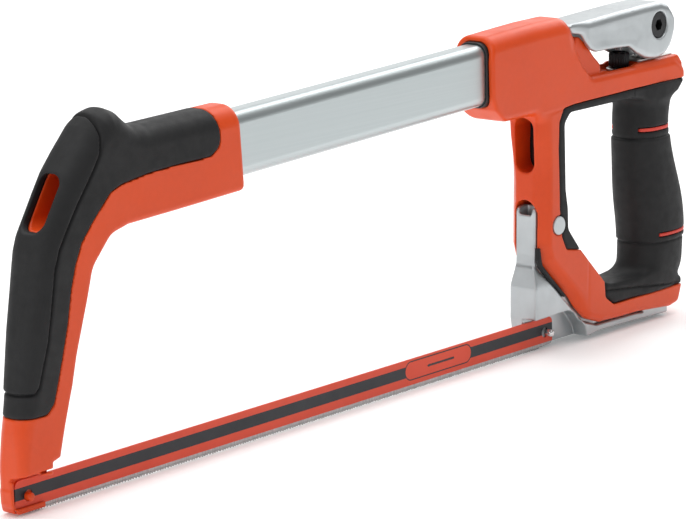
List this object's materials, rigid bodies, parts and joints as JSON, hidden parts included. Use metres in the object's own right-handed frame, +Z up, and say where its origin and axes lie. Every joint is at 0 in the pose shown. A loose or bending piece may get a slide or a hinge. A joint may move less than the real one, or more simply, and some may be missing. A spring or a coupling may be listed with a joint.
{
  "type": "hacksaw",
  "caption": "High-tension hacksaw with an inclined tube frame, closed D handle, rubber grips, tension arm and cam lever holding a standard blade.",
  "frame": {"origin": "bottom centre of the whole saw's box at rest; y = 0 is the blade's middle plane", "axes": "+X along the blade from the front foot to the handle, +Z up from the teeth to the frame tube, +Y away from the side the blade is fitted from"},
  "size_m": [0.4017, 0.0254, 0.1394],
  "materials": {
    "orange_paint": "satin powder coat",
    "black_rubber": "matte over-mould",
    "anodised_tube": "satin anodised",
    "cast_silver": "silver painted die casting",
    "zinc_steel": "zinc plated",
    "black_steel": "black oxide",
    "blade_paint": "orange and charcoal printed steel with bare teeth",
    "black_plastic": "matte",
    "red_inlay": "matte",
    "bronze": "sintered"
  },
  "bodies": {
    "frame": {"arm_bumpers": "black_rubber", "arm_pivot_pin": "zinc_steel", "collar_sleeve": "black_plastic", "frame_tube": "anodised_tube", "front_blade_pin": "orange_paint", "front_casting": "orange_paint", "front_grip": "black_rubber", "front_tube_screws": "black_steel", "grip_inlays": "red_inlay", "hand_opening_liner": "black_rubber", "handle_casting": "orange_paint", "handle_grip": "black_rubber", "handle_tube_screws": "black_steel", "pivot_pin_screw": "zinc_steel", "pivot_washers": "black_plastic", "rod_guide_bush": "black_plastic", "wear_plate": "zinc_steel", "wear_plate_screws": "zinc_steel"},
    "tension_rod_body": {"tension_rod": "zinc_steel", "rod_barrel_nut": "zinc_steel"},
    "lever": {"cam_lever": "cast_silver", "lever_pivot_pin": "black_steel", "lever_pin_screw": "black_steel"},
    "arm": {"tension_arm": "cast_silver", "rear_blade_pin": "zinc_steel", "arm_pivot_bush": "bronze"},
    "blade_body": {"blade": "blade_paint"},
    "adjuster": {"adjuster_screw": "black_steel"}
  },
  "joints": [
    {"name": "rod_slide", "type": "slide", "parent": "frame", "child": "tension_rod_body", "axis": [0, 0, 1], "range_m": [-0.0017, 0]},
    {"name": "lever_hinge", "type": "hinge", "parent": "tension_rod_body", "child": "lever", "pos_m": [0.17757, 0, 0.1286], "axis": [0, 1, 0], "range_deg": [0, 100]},
    {"name": "arm_pivot", "type": "hinge", "parent": "frame", "child": "arm", "pos_m": [0.10537, 0, 0.0537], "axis": [0, 1, 0], "range_deg": [0, 1.35]},
    {"name": "blade_release", "type": "slide", "parent": "frame", "child": "blade_body", "axis": [0, -1, 0], "range_m": [0, 0.0046]},
    {"name": "adjuster_turn", "type": "hinge", "parent": "frame", "child": "adjuster", "pos_m": [0.16157, 0, 0.115], "axis": [0, 0, 1], "continuous": true}
  ],
  "couplings": [
    {"joint": "rod_slide", "follows": "lever_hinge", "m_per_rad": -0.00097393},
    {"joint": "arm_pivot", "follows": "lever_hinge", "ratio": 0.013498}
  ]
}
